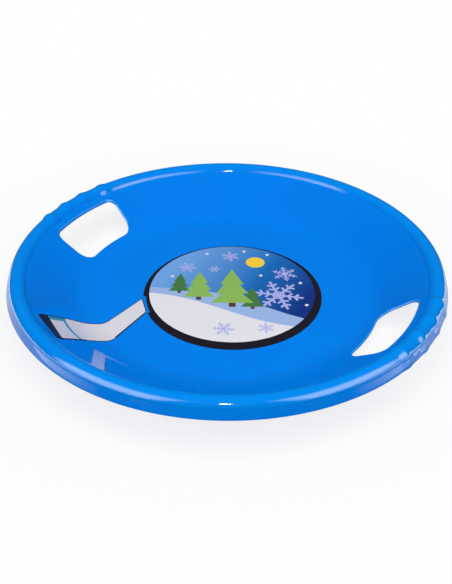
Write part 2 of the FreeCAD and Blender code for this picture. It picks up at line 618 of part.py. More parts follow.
# Every feature must have solved, and every piece must be one sound solid, before anything is written.
for item in doc.Objects:
    if "Invalid" in item.State or "Error" in item.State:
        raise RuntimeError(f"{item.Name} did not build: {item.State}")
if slots.Shape.Volume >= slot.Shape.Volume or slot.Shape.Volume >= skirt_ease.Shape.Volume:
    raise RuntimeError("a hand slot cuts nothing")
if strip_cut.Shape.Volume >= layer_turn.Shape.Volume:
    raise RuntimeError("the strip was not trimmed")
os.makedirs("parts", exist_ok=True)
for body in (shell, disc, strip):
    body.Placement = FreeCAD.Placement()
    shape = body.Shape
    if shape.isNull() or not shape.isValid() or len(shape.Solids) != 1:
        raise RuntimeError(f"{body.Label} is not one sound solid")
    box = shape.BoundBox
    print(body.Label, "volume", round(shape.Volume), "from", round(box.XMin, 2), round(box.YMin, 2),
          round(box.ZMin, 2), "to", round(box.XMax, 2), round(box.YMax, 2), round(box.ZMax, 2))
    shape.exportStep(f"parts/{body.Label}.step")
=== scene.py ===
import math
from functools import reduce

import bpy
from mathutils import Matrix, Vector


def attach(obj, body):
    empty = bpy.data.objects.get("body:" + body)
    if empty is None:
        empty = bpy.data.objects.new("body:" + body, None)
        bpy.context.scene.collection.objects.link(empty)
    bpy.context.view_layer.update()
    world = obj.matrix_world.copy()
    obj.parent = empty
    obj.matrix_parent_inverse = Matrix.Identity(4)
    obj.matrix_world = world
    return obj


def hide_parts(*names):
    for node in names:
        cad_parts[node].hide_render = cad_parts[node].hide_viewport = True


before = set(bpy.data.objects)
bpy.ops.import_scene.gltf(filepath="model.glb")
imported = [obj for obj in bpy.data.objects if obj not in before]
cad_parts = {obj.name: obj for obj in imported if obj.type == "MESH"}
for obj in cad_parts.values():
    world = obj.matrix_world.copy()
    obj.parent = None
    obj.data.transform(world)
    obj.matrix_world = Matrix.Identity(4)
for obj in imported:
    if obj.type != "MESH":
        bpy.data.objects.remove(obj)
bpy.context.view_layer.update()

bpy.ops.object.select_all(action="DESELECT")

# Dish: one injection moulding in glossy blue plastic with an even wall. The flat floor blends into a
# sloped wall, the wall rises over a foot into the rolled crown of the rim, and a flared skirt hangs
# from a crease under the crown. Two hand slots go through the wall, with four finger ribs beside each.
wall = 0.0030
wall_slope = math.radians(37.9)
flank_slope = math.radians(57.0)
rim_radius = 0.29995
dish_depth = 0.0637
blend_radius = 0.0770
foot_round = 0.0050
flank_length = 0.00265
crown_inner_round = 0.0140
crown_lean = math.radians(15.0)
crown_round = 0.01075
crease_tilt = math.radians(4.0)
skirt_flare = 0.0044
skirt_drop = 0.0114
skirt_edge_round = 0.0009
turns = 720
weld = 1e-6

UP, DOWN = math.radians(90), math.radians(-90)
ACROSS = (0, 1, 0)


def polar(centre, radius, angle):
    # A point of the half section, where X is the distance from the axis.
    return centre + radius * Vector((math.cos(angle), 0, math.sin(angle)))


crown = Vector((rim_radius - skirt_flare - crown_round * math.cos(crease_tilt), 0,
                wall + dish_depth - crown_round))
crown_inner = polar(crown, crown_round - crown_inner_round, UP + crown_lean)
knee = polar(crown_inner, crown_inner_round + foot_round, UP + flank_slope)
knee = polar(knee, -flank_length, flank_slope)
foot = polar(knee, foot_round, DOWN + wall_slope)
blend_rise = blend_radius * (1 - math.cos(wall_slope))
wall_run = (foot.z - wall - blend_rise) / math.tan(wall_slope)
floor_radius = foot.x - wall_run - blend_radius * math.sin(wall_slope)
blend = Vector((floor_radius, 0, wall + blend_radius))
crease = polar(crown, crown_round, crease_tilt)
skirt_tip = Vector((rim_radius, 0, crease.z - skirt_drop))
skirt_up = (crease - skirt_tip).normalized()
skirt_lean = math.atan2(-skirt_up.x, skirt_up.z)
skirt_heel = skirt_tip - Vector((wall / math.cos(skirt_lean), 0, 0))


def height(radius):
    # The upper face of the floor, blend and wall, at a distance from the axis.
    if radius <= floor_radius:
        return wall
    if radius <= floor_radius + blend_radius * math.sin(wall_slope):
        return blend.z - math.sqrt(blend_radius ** 2 - (radius - floor_radius) ** 2)
    return foot.z + (radius - foot.x) * math.tan(wall_slope)


def underside(radius):
    # The lower face under it, one wall away.
    outer = blend_radius + wall
    if radius <= floor_radius:
        return 0.0
    if radius <= floor_radius + outer * math.sin(wall_slope):
        return blend.z - math.sqrt(outer ** 2 - (radius - floor_radius) ** 2)
    return height(radius) - wall / math.cos(wall_slope)


def start_line(name, at):
    # A new mesh of one vertex, left in edit mode with that vertex selected.
    bpy.ops.mesh.primitive_plane_add(size=wall)
    piece = bpy.context.object
    piece.name = name
    piece.data.name = name
    bpy.ops.object.mode_set(mode="EDIT")
    bpy.context.tool_settings.mesh_select_mode = (True, False, False)
    bpy.ops.mesh.select_all(action="SELECT")
    bpy.ops.mesh.merge(type="CENTER")
    bpy.ops.transform.translate(value=at)
    return piece


def run_to(piece, point, steps=1):
    # Extrudes the last vertex of a line straight to a point.
    piece.update_from_editmode()
    tip = next(vertex.co.copy() for vertex in piece.data.vertices if vertex.select)
    step = (point - tip) / steps
    for _ in range(steps):
        bpy.ops.mesh.extrude_region_move(TRANSFORM_OT_translate={"value": step})


def bend(centre, turn, steps, axis=ACROSS):
    # Spins the last vertex of the line being drawn round a centre.
    bpy.ops.mesh.spin(steps=steps, angle=turn, center=centre, axis=axis)


def points_so_far(piece):
    piece.update_from_editmode()
    return len(piece.data.vertices)


# The half section's upper side, from the middle of the floor out to the skirt's edge.
dish = start_line("dish_moulding", Vector((0, 0, wall)))
run_to(dish, Vector((floor_radius, 0, wall)), steps=4)
bend(blend, wall_slope, steps=16)
run_to(dish, foot, steps=8)
rib_first = points_so_far(dish)
bend(knee, flank_slope - wall_slope, steps=5)
run_to(dish, polar(crown_inner, crown_inner_round, UP + flank_slope))
bend(crown_inner, crown_lean - flank_slope, steps=8)
rib_full = points_so_far(dish)
bend(crown, crease_tilt - UP - crown_lean, steps=18)
rib_fade = points_so_far(dish)
edge_run = skirt_edge_round / math.tan((UP - skirt_lean) / 2)
edge_start = skirt_tip + edge_run * skirt_up
run_to(dish, edge_start, steps=3)
bend(polar(edge_start, -skirt_edge_round, skirt_lean), DOWN - skirt_lean, steps=4)
rib_last = points_so_far(dish)

# And back along the lower side, where the skirt's inner face runs up until it meets the crown's hollow.
heel_run = skirt_edge_round / math.tan((UP + skirt_lean) / 2)
heel_start = skirt_heel + Vector((heel_run, 0, 0))
run_to(dish, heel_start)
bend(heel_start + Vector((0, 0, skirt_edge_round)), skirt_lean - UP, steps=3)
inner_round = crown_round - wall
offset = skirt_heel - crown
along = offset.dot(skirt_up)
half_chord = math.sqrt(along ** 2 - offset.length_squared + inner_round ** 2)
reach = min(run for run in (half_chord - along, -half_chord - along) if run > 0)
crease_under = skirt_heel + reach * skirt_up
run_to(dish, crease_under)
crease_angle = math.atan2(crease_under.z - crown.z, crease_under.x - crown.x)
bend(crown, UP + crown_lean - crease_angle, steps=8)
bend(crown_inner, flank_slope - crown_lean, steps=4)
run_to(dish, polar(knee, foot_round + wall, DOWN + flank_slope))
bend(knee, wall_slope - flank_slope, steps=3)
run_to(dish, polar(blend, blend_radius + wall, DOWN + wall_slope), steps=8)
bend(blend, -wall_slope, steps=12)
run_to(dish, Vector((0, 0, 0)), steps=3)

# How much of a rib each ring of the rim carries: none at the foot, all of it on the crown, and less and
# less down the skirt.
bpy.ops.object.mode_set(mode="OBJECT")
ribs = dish.vertex_groups.new(name="finger_ribs")
for index in range(rib_first, rib_last):
    rising = (index - rib_first) / (rib_full - rib_first)
    falling = (rib_last - index) / (rib_last - rib_fade)
    ribs.add([index], min(1.0, rising, falling), "REPLACE")


def face_outwards():
    # Turns the faces of the piece at hand outwards, and leaves it in object mode.
    bpy.ops.object.mode_set(mode="EDIT")
    bpy.ops.mesh.select_all(action="SELECT")
    bpy.ops.mesh.normals_make_consistent(inside=False)
    bpy.ops.object.mode_set(mode="OBJECT")


def weld_doubles():
    # Merges the vertices that lie on one another, in edit mode.
    bpy.ops.mesh.select_all(action="SELECT")
    bpy.ops.mesh.remove_doubles(threshold=weld)


turn_round = dish.modifiers.new("turn_round", "SCREW")
turn_round.steps = turns
turn_round.render_steps = turns
turn_round.use_merge_vertices = True
bpy.ops.object.modifier_apply(modifier=turn_round.name)
bpy.ops.object.mode_set(mode="EDIT")
weld_doubles()
face_outwards()

# Hand slots: each is outlined in plan by two arcs round the dish's axis, with four round corners. A
# second, slightly larger outline keeps the faces round the slot even.
slot_gap = 0.0076
slot_width = 0.0493
slot_span = math.radians(28.5)
slot_corner_outer = 0.0110
slot_corner_inner = 0.0200
slot_lip_round = 0.0022
slot_under_round = 0.0006
slot_margin = 0.0030
patch_span = math.radians(33.0)
slot_out = foot.x - slot_gap
slot_in = slot_out - slot_width
slot_half = slot_span / 2
patch_in = slot_in - 2 * slot_margin
patch_half = patch_span / 2
MIDDLE = Vector((0, 0, 0))
# Spin turns clockwise about its axis, so what is drawn in plan is spun about the one that points down.
TURNING = (0, 0, -1)


def level(piece, side):
    # Sets each vertex of a flat outline on the upper or lower face of the dish.
    for vertex in piece.data.vertices:
        vertex.co.z = side(math.hypot(vertex.co.x, vertex.co.y))


def plan(radius, angle):
    return Vector((radius * math.cos(angle), radius * math.sin(angle), 0))


out_turn = math.asin(slot_corner_outer / (slot_out - slot_corner_outer))
in_turn = math.asin(slot_corner_inner / (slot_in + slot_corner_inner))
out_arc = slot_half - out_turn
in_arc = slot_half - in_turn
outlines = []
for opposite in (0, math.pi):
    corners_out = [plan(slot_out - slot_corner_outer, opposite + turn) for turn in (out_arc, -out_arc)]
    corners_in = [plan(slot_in + slot_corner_inner, opposite + turn) for turn in (in_arc, -in_arc)]
    for side in (height, underside):
        for grown, group in ((slot_margin, "slot_margin"), (0.0, "slot_edge")):
            inner_end = plan(slot_corner_inner + grown, opposite + slot_half + UP)
            outer_end = plan(slot_corner_outer + grown, opposite - slot_half - UP)
            outline = start_line("slot_outline", plan(slot_out + grown, opposite - out_arc))
            bend(MIDDLE, 2 * out_arc, 48, TURNING)
            bend(corners_out[0], UP + out_turn, 12, TURNING)
            run_to(outline, corners_in[0] + inner_end, steps=6)
            bend(corners_in[0], UP - in_turn, 16, TURNING)
            bend(MIDDLE, -2 * in_arc, 36, TURNING)
            bend(corners_in[1], UP - in_turn, 16, TURNING)
            run_to(outline, corners_out[1] + outer_end, steps=6)
            bend(corners_out[1], UP + out_turn, 12, TURNING)
            weld_doubles()
            bpy.ops.object.mode_set(mode="OBJECT")
            level(outline, side)
            outline.vertex_groups.new(name=group).add(range(len(outline.data.vertices)), 1.0, "REPLACE")
            outlines.append(outline)


def select_nothing(kind):
    # Clears the selection in the piece at hand, so that code can select vertices, edges or faces.
    bpy.context.tool_settings.mesh_select_mode = [kind == each for each in ("VERTEX", "EDGE", "FACE")]
    bpy.ops.object.mode_set(mode="EDIT")
    bpy.ops.mesh.select_all(action="DESELECT")
    bpy.ops.object.mode_set(mode="OBJECT")


def near_slot(point, end):
    # Whether a point is in the stretch of wall that is made anew round a slot.
    out = math.hypot(point.x, point.y)
    return patch_in < out < end and abs(point.y) < out * math.sin(patch_half)


# The wall is opened round each outline, and the two are bridged with the faces kept on the dish's form.
bpy.ops.object.select_all(action="DESELECT")
bpy.context.view_layer.objects.active = dish
dish.select_set(True)
select_nothing("FACE")
for face in dish.data.polygons:
    face.select = near_slot(face.center, foot.x)
bpy.ops.object.mode_set(mode="EDIT")
bpy.ops.mesh.delete(type="FACE")
bpy.ops.object.mode_set(mode="OBJECT")
for outline in outlines:
    outline.select_set(True)
bpy.ops.object.join()


def on_top(vertex):
    out = math.hypot(vertex.co.x, vertex.co.y)
    return vertex.co.z > (height(out) + underside(out)) / 2


def in_group(vertex, name):
    index = dish.vertex_groups[name].index
    return any(held.group == index and held.weight > 0.5 for held in vertex.groups)


def join_rings(wanted, cuts):
    # Bridges the two open rings that the wanted vertices form.
    select_nothing("VERTEX")
    bpy.ops.object.mode_set(mode="EDIT")
    bpy.ops.mesh.select_non_manifold(extend=False, use_multi_face=False, use_non_contiguous=False,
                                     use_verts=False)
    bpy.ops.object.mode_set(mode="OBJECT")
    ring = [vertex.index for vertex in dish.data.vertices if vertex.select and wanted(vertex)]
    select_nothing("VERTEX")
    for index in ring:
        dish.data.vertices[index].select = True
    bpy.ops.object.mode_set(mode="EDIT")
    bpy.ops.mesh.bridge_edge_loops(number_cuts=cuts, interpolation="LINEAR")
    bpy.ops.object.mode_set(mode="OBJECT")


for right in (True, False):
    for top in (True, False):
        join_rings(lambda v: (v.co.x > 0) == right and on_top(v) == top and not in_group(v, "slot_edge"), 2)
        join_rings(lambda v: (v.co.x > 0) == right and on_top(v) == top, 0)
    join_rings(lambda v: (v.co.x > 0) == right, 0)
for vertex in dish.data.vertices:
    if near_slot(vertex.co, foot.x - wall):
        out = math.hypot(vertex.co.x, vertex.co.y)
        vertex.co.z = height(out) if on_top(vertex) else underside(out)
face_outwards()
for top, round_size, steps in ((False, slot_under_round, 2), (True, slot_lip_round, 6)):
    select_nothing("EDGE")
    lips = {v.index for v in dish.data.vertices if in_group(v, "slot_edge") and on_top(v) == top}
    for edge in dish.data.edges:
        edge.select = all(index in lips for index in edge.vertices)
    bpy.ops.object.mode_set(mode="EDIT")
    bpy.ops.mesh.bevel(offset=round_size, segments=steps, affect="EDGES")
    bpy.ops.object.mode_set(mode="OBJECT")

# The dish is shaded smooth, but the narrow faces of the upper lips, still selected from their bevel, stay
# flat, and the crease under the crown stays a sharp line.
crease_slack = 0.0001


def on_crease(point):
    out = math.hypot(point.x, point.y)
    return abs(point.z - crease.z) < crease_slack and abs(out - crease.x) < crease_slack


def keep_sharp():
    # Marks the selected edges of the piece at hand.
    bpy.ops.object.mode_set(mode="EDIT")
    bpy.ops.mesh.mark_sharp()
    bpy.ops.object.mode_set(mode="OBJECT")


bpy.ops.object.shade_smooth()
keep_sharp()
select_nothing("EDGE")
for edge in dish.data.edges:
    edge.select = all(on_crease(dish.data.vertices[index].co) for index in edge.vertices)
keep_sharp()

# The upper lips are marked for the finish, which paints a highlight on them in a paler blue.
lip_highlight_name = "lip"
painted_lip_highlight = dish.data.attributes.new(lip_highlight_name, "FLOAT", "POINT")
for vertex in dish.data.vertices:
    painted_lip_highlight.data[vertex.index].value = float(in_group(vertex, "slot_edge") and on_top(vertex))

# Finger ribs: low round swellings over the rim, four beside each slot, a little round from its middle.
rib_height = 0.00192
rib_width = 0.0245
rib_pitch = math.radians(7.75)
rib_shift = math.radians(-1.8)
rib_count = 4
rib_centres = [rib_shift + (index - (rib_count - 1) / 2) * rib_pitch for index in range(rib_count)]
rib_group = dish.vertex_groups["finger_ribs"].index
for vertex in dish.data.vertices:
    held = [group for group in vertex.groups if group.group == rib_group]
    if not held:
        continue
    out = math.hypot(vertex.co.x, vertex.co.y)
    angle = math.atan2(vertex.co.y, vertex.co.x)
    if abs(angle) > UP:
        angle -= math.copysign(math.pi, angle)
    near = min(abs(angle - centre) for centre in rib_centres) * out / (rib_width / 2)
    held[0].weight *= math.cos(near * UP) ** 2 if near < 1 else 0.0
swell = dish.modifiers.new("finger_ribs", "DISPLACE")
swell.vertex_group = "finger_ribs"
swell.strength = rib_height
swell.mid_level = 0.0
swell.direction = "NORMAL"
bpy.ops.object.modifier_apply(modifier=swell.name)


def new_finish(name):
    # A material with its node tree, its shader and the object's own coordinates.
    finish = bpy.data.materials.new(name)
    finish.use_nodes = True
    tree = finish.node_tree
    shader = tree.nodes["Principled BSDF"]
    coords = tree.nodes.new("ShaderNodeTexCoord").outputs["Object"]
    return finish, tree, shader, coords


def link(output, socket):
    # A socket's id_data is the node tree that it is in.
    output.id_data.links.new(output, socket)


def axes(vector):
    # The X, Y and Z of a place.
    node = vector.id_data.nodes.new("ShaderNodeSeparateXYZ")
    link(vector, node.inputs["Vector"])
    return node.outputs


def noise(coords, scale, detail):
    node = coords.id_data.nodes.new("ShaderNodeTexNoise")
    node.inputs["Scale"].default_value = scale
    node.inputs["Detail"].default_value = detail
    link(coords, node.inputs["Vector"])
    return node.outputs["Fac"]


def spread(value, low, high, start=0.3, end=0.7):
    # Maps a stretch of a value, by default the middle of a noise, to another, held at both ends.
    node = value.id_data.nodes.new("ShaderNodeMapRange")
    node.inputs["From Min"].default_value = start
    node.inputs["From Max"].default_value = end
    node.inputs["To Min"].default_value = low
    node.inputs["To Max"].default_value = high
    link(value, node.inputs["Value"])
    return node.outputs["Result"]


def blended(factor, first, second):
    # One colour turning into another. A colour is a socket or plain numbers.
    node = factor.id_data.nodes.new("ShaderNodeMix")
    node.data_type = "RGBA"
    link(factor, node.inputs["Factor"])
    for name, colour in (("A", first), ("B", second)):
        socket = next(s for s in node.inputs if s.name == name and s.type == "RGBA")
        if isinstance(colour, tuple):
            socket.default_value = (*colour, 1)
        else:
            link(colour, socket)
    return next(s for s in node.outputs if s.type == "RGBA")


def roughen(shader, heights):
    # Bumps stacked on one another, each a height map with its depth in metres.
    under = None
    for value, depth in heights:
        bump = value.id_data.nodes.new("ShaderNodeBump")
        bump.inputs["Distance"].default_value = depth
        link(value, bump.inputs["Height"])
        if under:
            link(under, bump.inputs["Normal"])
        under = bump.outputs["Normal"]
    link(under, shader.inputs["Normal"])


# The blue wanders a little over the moulding. The crown is painted a paler blue as painted light, and the
# slots' upper lips a paler blue as a painted highlight.
blue = (0.000, 0.210, 0.810)
blue_thin = (0.000, 0.222, 0.835)
blue_crown_painted_light = (0.000, 0.255, 0.860)
blue_lip_painted_highlight = (0.035, 0.330, 0.900)
moulding_gloss = (0.035, 0.065)
moulding_ior = 1.49
moulding_wave = 0.00004
moulding_grain = 0.000004
finish, tree, shader, coords = new_finish("glossy_blue_moulding")
shade = spread(noise(coords, scale=9.0, detail=3.0), 0.0, 1.0)
crown_painted_light_mask = spread(axes(coords)["Z"], 0.0, 1.0, crease.z - wall, crease.z + wall)
# Painted light: above the crease, the crown is painted a paler blue.
plastic = blended(crown_painted_light_mask, blended(shade, blue, blue_thin), blue_crown_painted_light)
at_lip_highlight = tree.nodes.new("ShaderNodeAttribute")
at_lip_highlight.attribute_name = lip_highlight_name
# Painted highlight: the slots' upper lips are painted a paler blue.
plastic = blended(at_lip_highlight.outputs["Fac"], plastic, blue_lip_painted_highlight)
link(plastic, shader.inputs["Base Color"])
link(spread(noise(coords, scale=60.0, detail=4.0), *moulding_gloss), shader.inputs["Roughness"])
shader.inputs["IOR"].default_value = moulding_ior
roughen(shader, (
    (noise(coords, scale=12.0, detail=1.0), moulding_wave),
    (noise(coords, scale=900.0, detail=2.0), moulding_grain),
))
dish.data.materials.clear()
dish.data.materials.append(finish)
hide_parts("saucer_shell")
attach(dish, "root")

# Round film: a die-cut printed disc glued to the floor a little off its middle, with a shallow notch
# for the end of the strip. The print is a winter hillside inside a dark border.
film_thick = 0.0003
film_gap = 0.0002
film_edge = math.radians(40)
disc_centre = Vector((0.0080, 0.0016, wall + film_gap))
disc_margin = 0.0492
notch_depth = 0.0038
notch_middle = math.radians(225.0)
notch_span = math.radians(15.8)
notch_ease = math.radians(1.2)
disc_radius = floor_radius - disc_margin
notch_half = notch_span / 2 + notch_ease

disc = start_line("round_film", disc_centre + plan(disc_radius, notch_middle + notch_half))
bend(disc_centre, math.tau - 2 * notch_half, 236, TURNING)
run_to(disc, disc_centre + plan(disc_radius - notch_depth, notch_middle - notch_half), steps=2)
bend(disc_centre, 2 * notch_half, 16, TURNING)
run_to(disc, disc_centre + plan(disc_radius, notch_middle + notch_half), steps=2)
weld_doubles()
bpy.ops.mesh.select_all(action="SELECT")
bpy.ops.mesh.edge_face_add()
bpy.ops.mesh.extrude_region_move(TRANSFORM_OT_translate={"value": (0, 0, film_thick)})
face_outwards()
bpy.ops.object.shade_smooth_by_angle(angle=film_edge)

# The print is laid out in its own disc of radius 1, turned to face the camera.
print_radius = 0.1180
print_centre = disc_centre + Vector((-0.0040, 0.0054, 0))
print_turn = math.radians(31.7)
finish, tree, shader, coords = new_finish("printed_round_film")
place = tree.nodes.new("ShaderNodeMapping")
place.vector_type = "TEXTURE"
place.inputs["Location"].default_value = print_centre
place.inputs["Rotation"].default_value = (0, 0, print_turn)
place.inputs["Scale"].default_value = (print_radius, print_radius, 1)
link(coords, place.inputs["Vector"])
print_axes = axes(place.outputs["Vector"])
across, upward = print_axes["X"], print_axes["Y"]


def calc(operation, *values):
    # One step of arithmetic in a node tree, on sockets or numbers.
    tree = next(value for value in values if isinstance(value, bpy.types.NodeSocket)).id_data
    node = tree.nodes.new("ShaderNodeMath")
    node.operation = operation
    for socket, value in zip(node.inputs, values):
        if isinstance(value, bpy.types.NodeSocket):
            link(value, socket)
        else:
            socket.default_value = value
    return node.outputs[0]


def both(*masks):
    return reduce(lambda first, second: calc("MULTIPLY", first, second), masks)


def either(*masks):
    return reduce(lambda first, second: calc("MAXIMUM", first, second), masks)


def less(first, second):
    return calc("LESS_THAN", first, second)


def distance(east, north):
    return calc("SQRT", calc("ADD", calc("MULTIPLY", east, east), calc("MULTIPLY", north, north)))


def hill(start, slope, rise, wave, phase):
    # Below a rolling line.
    swing = calc("SINE", calc("MULTIPLY_ADD", across, wave, phase))
    ground = calc("MULTIPLY_ADD", across, slope, start)
    return less(upward, calc("MULTIPLY_ADD", swing, rise, ground))


def round_spot(at, radius):
    return less(distance(calc("SUBTRACT", across, at[0]), calc("SUBTRACT", upward, at[1])), radius)


def pine(at, tall):
    # Three skirts of branches, each a triangle, the lowest the widest, and a trunk under them.
    branches = ((0.10, 0.56, 0.32), (0.34, 0.78, 0.25), (0.58, 1.00, 0.18))
    trunk_half, trunk_top = 0.05, 0.12
    aside = calc("ABSOLUTE", calc("SUBTRACT", across, at[0]))
    above = calc("DIVIDE", calc("SUBTRACT", upward, at[1]), tall)
    skirts = []
    for base, top, half in branches:
        edge = calc("MULTIPLY", calc("SUBTRACT", top, above), half * tall / (top - base))
        skirts.append(both(less(base, above), less(aside, edge)))
    trunk = both(less(aside, trunk_half * tall), less(0.0, above), less(above, trunk_top))
    return either(*skirts), trunk


def crystal(at, size, turn):
    # Six arms, each with two pairs of side twigs, and a ring, folded into one twelfth of a turn.
    arm_half, twig_half = 0.055, 0.050
    twigs = ((0.38, 0.26), (0.66, 0.24))
    ring_in, ring_out = 0.17, 0.26
    lean_along, lean_aside = math.cos(math.radians(60)), math.sin(math.radians(60))
    east = calc("DIVIDE", calc("SUBTRACT", across, at[0]), size)
    north = calc("DIVIDE", calc("SUBTRACT", upward, at[1]), size)
    out = distance(east, north)
    angle = calc("ADD", calc("ARCTAN2", north, east), math.tau + turn)
    folded = calc("PINGPONG", angle, math.radians(30))
    along = calc("MULTIPLY", out, calc("COSINE", folded))
    beside = calc("MULTIPLY", out, calc("SINE", folded))
    parts = [both(less(beside, arm_half), less(along, 1.0))]
    for root, length in twigs:
        from_root = calc("SUBTRACT", along, root)
        reach = calc("ADD", calc("MULTIPLY", from_root, lean_along), calc("MULTIPLY", beside, lean_aside))
        across_twig = calc("MULTIPLY", from_root, lean_aside)
        aside = calc("ABSOLUTE", calc("SUBTRACT", across_twig, calc("MULTIPLY", beside, lean_along)))
        parts.append(both(less(aside, twig_half), less(reach, length), less(0.0, reach)))
    parts.append(both(less(out, ring_out), less(ring_in, out)))
    return either(*parts)


sky_light = (0.160, 0.370, 0.750)
sky_middle = (0.010, 0.160, 0.500)
sky_deep = (0.006, 0.030, 0.210)
snow = (0.780, 0.770, 0.820)
snow_shade = (0.330, 0.470, 0.780)
pine_green = (0.260, 0.480, 0.100)
pine_dark = (0.060, 0.190, 0.050)
bark = (0.090, 0.045, 0.020)
flake = (0.420, 0.440, 0.800)
sun = (0.950, 0.620, 0.040)
border = (0.012, 0.009, 0.017)

sky_slant = (0.55, -0.30)
sun_at, sun_radius = (0.30, 0.62), 0.12
sky_flakes = (
    ((0.56, -0.10), 0.30, 0.2),
    ((0.66, 0.36), 0.16, 0.4),
    ((-0.02, 0.76), 0.12, 0.4),
    ((-0.56, 0.50), 0.12, 0.1),
    ((-0.22, 0.46), 0.08, 0.0),
)
specks = (
    (0.84, 0.16), (0.46, 0.80), (-0.32, 0.82), (-0.74, 0.30), (0.36, 0.32), (0.16, 0.88), (0.88, -0.30),
)
speck_radius = 0.022
pines = (
    ((0.24, -0.38), 0.44, pine_dark),
    ((-0.64, -0.06), 0.42, pine_dark),
    ((0.00, -0.34), 0.80, pine_green),
    ((-0.40, -0.20), 0.60, pine_green),
)
snow_flakes = (
    ((-0.10, -0.76), 0.13, 0.1),
    ((0.38, -0.74), 0.10, 0.5),
)
film_gloss = (0.30, 0.38)
film_wave = 0.00004

slant = calc("ADD", calc("MULTIPLY", across, sky_slant[0]), calc("MULTIPLY", upward, sky_slant[1]))
picture = blended(spread(slant, 0.0, 1.0, start=-0.55, end=0.10), sky_light, sky_middle)
picture = blended(spread(slant, 0.0, 1.0, start=0.05, end=0.55), picture, sky_deep)
picture = blended(round_spot(sun_at, sun_radius), picture, sun)
for at, size, turn in sky_flakes:
    picture = blended(crystal(at, size, turn), picture, flake)
for at in specks:
    picture = blended(round_spot(at, speck_radius), picture, snow)
far_hill = hill(start=-0.20, slope=-0.34, rise=0.08, wave=3.0, phase=2.0)
picture = blended(far_hill, picture, snow_shade)
for at, tall, green in pines:
    needles, trunk = pine(at, tall)
    picture = blended(trunk, picture, bark)
    picture = blended(needles, picture, green)
near_hill = hill(start=-0.42, slope=-0.30, rise=0.09, wave=2.6, phase=3.4)
picture = blended(near_hill, picture, snow)
for at, size, turn in snow_flakes:
    picture = blended(crystal(at, size, turn), picture, flake)
picture = blended(less(1.0, distance(across, upward)), picture, border)
link(picture, shader.inputs["Base Color"])
link(spread(noise(coords, scale=180.0, detail=3.0), *film_gloss), shader.inputs["Roughness"])
roughen(shader, ((noise(coords, scale=30.0, detail=1.0), film_wave),))
disc.data.materials.append(finish)
# The film is kept out of the gloss of the dish, where none of it should show.
disc.visible_glossy = False
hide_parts("centre_sticker")
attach(disc, "root")

# Strip label: white film with a dark printed edge, glued from the notch across the floor and up the
# wall. It bends aside where the floor ends and back again on the wall, and its outer end is the wider
# one.
strip_corner = 0.0040
strip_length = 0.165
strip_far = ((-0.0931, -0.0762), (-0.1010, -0.1500), (-0.1290, -0.1810), (-0.1404, -0.2276))
strip_near = ((-0.0682, -0.0998), (-0.0685, -0.1745), (-0.0835, -0.1975), (-0.0850, -0.2510))
strip_stations = (0.0, 0.46, 0.71, 1.0)
strip_soft = 0.045
rows, columns = 96, 14


def along_side(side, share):
    # A point of one long edge: straight runs joined by soft bends.
    at = Vector((0, 0, 0))
    around = (-1.0, -0.5, 0.0, 0.5, 1.0)
    for part in around:
        here = share + part * strip_soft
        run = next((i for i in range(len(side) - 1) if here < strip_stations[i + 1]), len(side) - 2)
        ratio = (here - strip_stations[run]) / (strip_stations[run + 1] - strip_stations[run])
        at += Vector((*side[run], 0)).lerp(Vector((*side[run + 1], 0)), ratio)
    return at / len(around)


bpy.ops.mesh.primitive_grid_add(x_subdivisions=columns, y_subdivisions=rows, size=2, calc_uvs=True)
strip = bpy.context.object
strip.name = "strip_label"
strip.data.name = "strip_label"
for vertex in strip.data.vertices:
    share = (1 + math.sin(vertex.co.y * UP)) / 2
    left = along_side(strip_far, share)
    right = along_side(strip_near, share)
    from_end = min(share, 1 - share) * strip_length
    inset = 0.0
    if from_end < strip_corner:
        inset = strip_corner - math.sqrt(strip_corner ** 2 - (strip_corner - from_end) ** 2)
    middle = (left + right) / 2
    half = (right - left) / 2
    spot = middle + half * vertex.co.x * (1 - inset / half.length)
    out = math.hypot(spot.x, spot.y)
    vertex.co = Vector((spot.x, spot.y, height(out) + film_gap / math.cos(wall_slope)))
film = strip.modifiers.new("film", "SOLIDIFY")
film.thickness = film_thick
film.offset = 1.0
bpy.ops.object.modifier_apply(modifier=film.name)
face_outwards()
bpy.ops.object.shade_smooth_by_angle(angle=film_edge)

# The print follows the strip: a curved band with a broad end along the far side, and a dark border that
# is wider on parts of the near side. Rows of faces are closer at both ends, which the sine allows for.
paper = (0.700, 0.680, 0.740)
band = (0.030, 0.300, 0.420)
band_place, band_bow, band_width = 0.775, 0.10, 0.022
broad_start, broad_width = 0.79, 0.17
far_border, inner_border = 0.035, 0.010
near_border = ((0.925, 0.00, 0.42), (0.970, 0.00, 1.00), (0.940, 0.74, 1.00))
outer_border, outer_slant = 0.955, -0.035
strip_wave = 0.00006
finish, tree, shader, coords = new_finish("white_label_film")
unwrapped = axes(tree.nodes["Texture Coordinate"].outputs["UV"])
sideways, lengthways = unwrapped["X"], unwrapped["Y"]
eased = calc("SINE", calc("MULTIPLY", calc("SUBTRACT", lengthways, 0.5), math.pi))
reached = calc("MULTIPLY_ADD", eased, 0.5, 0.5)
to_far = calc("SUBTRACT", 1.0, sideways)
band_start = calc("MULTIPLY_ADD", calc("MULTIPLY", to_far, sideways), band_bow, band_place)
on_curve = both(less(band_start, reached), less(reached, calc("ADD", band_start, band_width)))
on_broad = both(less(sideways, broad_width), less(broad_start, reached))
printed = blended(either(on_curve, on_broad), paper, band)
edges = [less(sideways, far_border), less(reached, inner_border)]
edges.append(less(calc("MULTIPLY_ADD", to_far, outer_slant, outer_border), reached))
for inner, start, end in near_border:
    edges.append(both(less(inner, sideways), less(start, reached), less(reached, end)))
printed = blended(either(*edges), printed, border)
link(printed, shader.inputs["Base Color"])
link(spread(noise(coords, scale=180.0, detail=3.0), *film_gloss), shader.inputs["Roughness"])
roughen(shader, ((noise(coords, scale=40.0, detail=1.0), strip_wave),))
strip.data.materials.append(finish)
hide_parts("info_label")
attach(strip, "root")

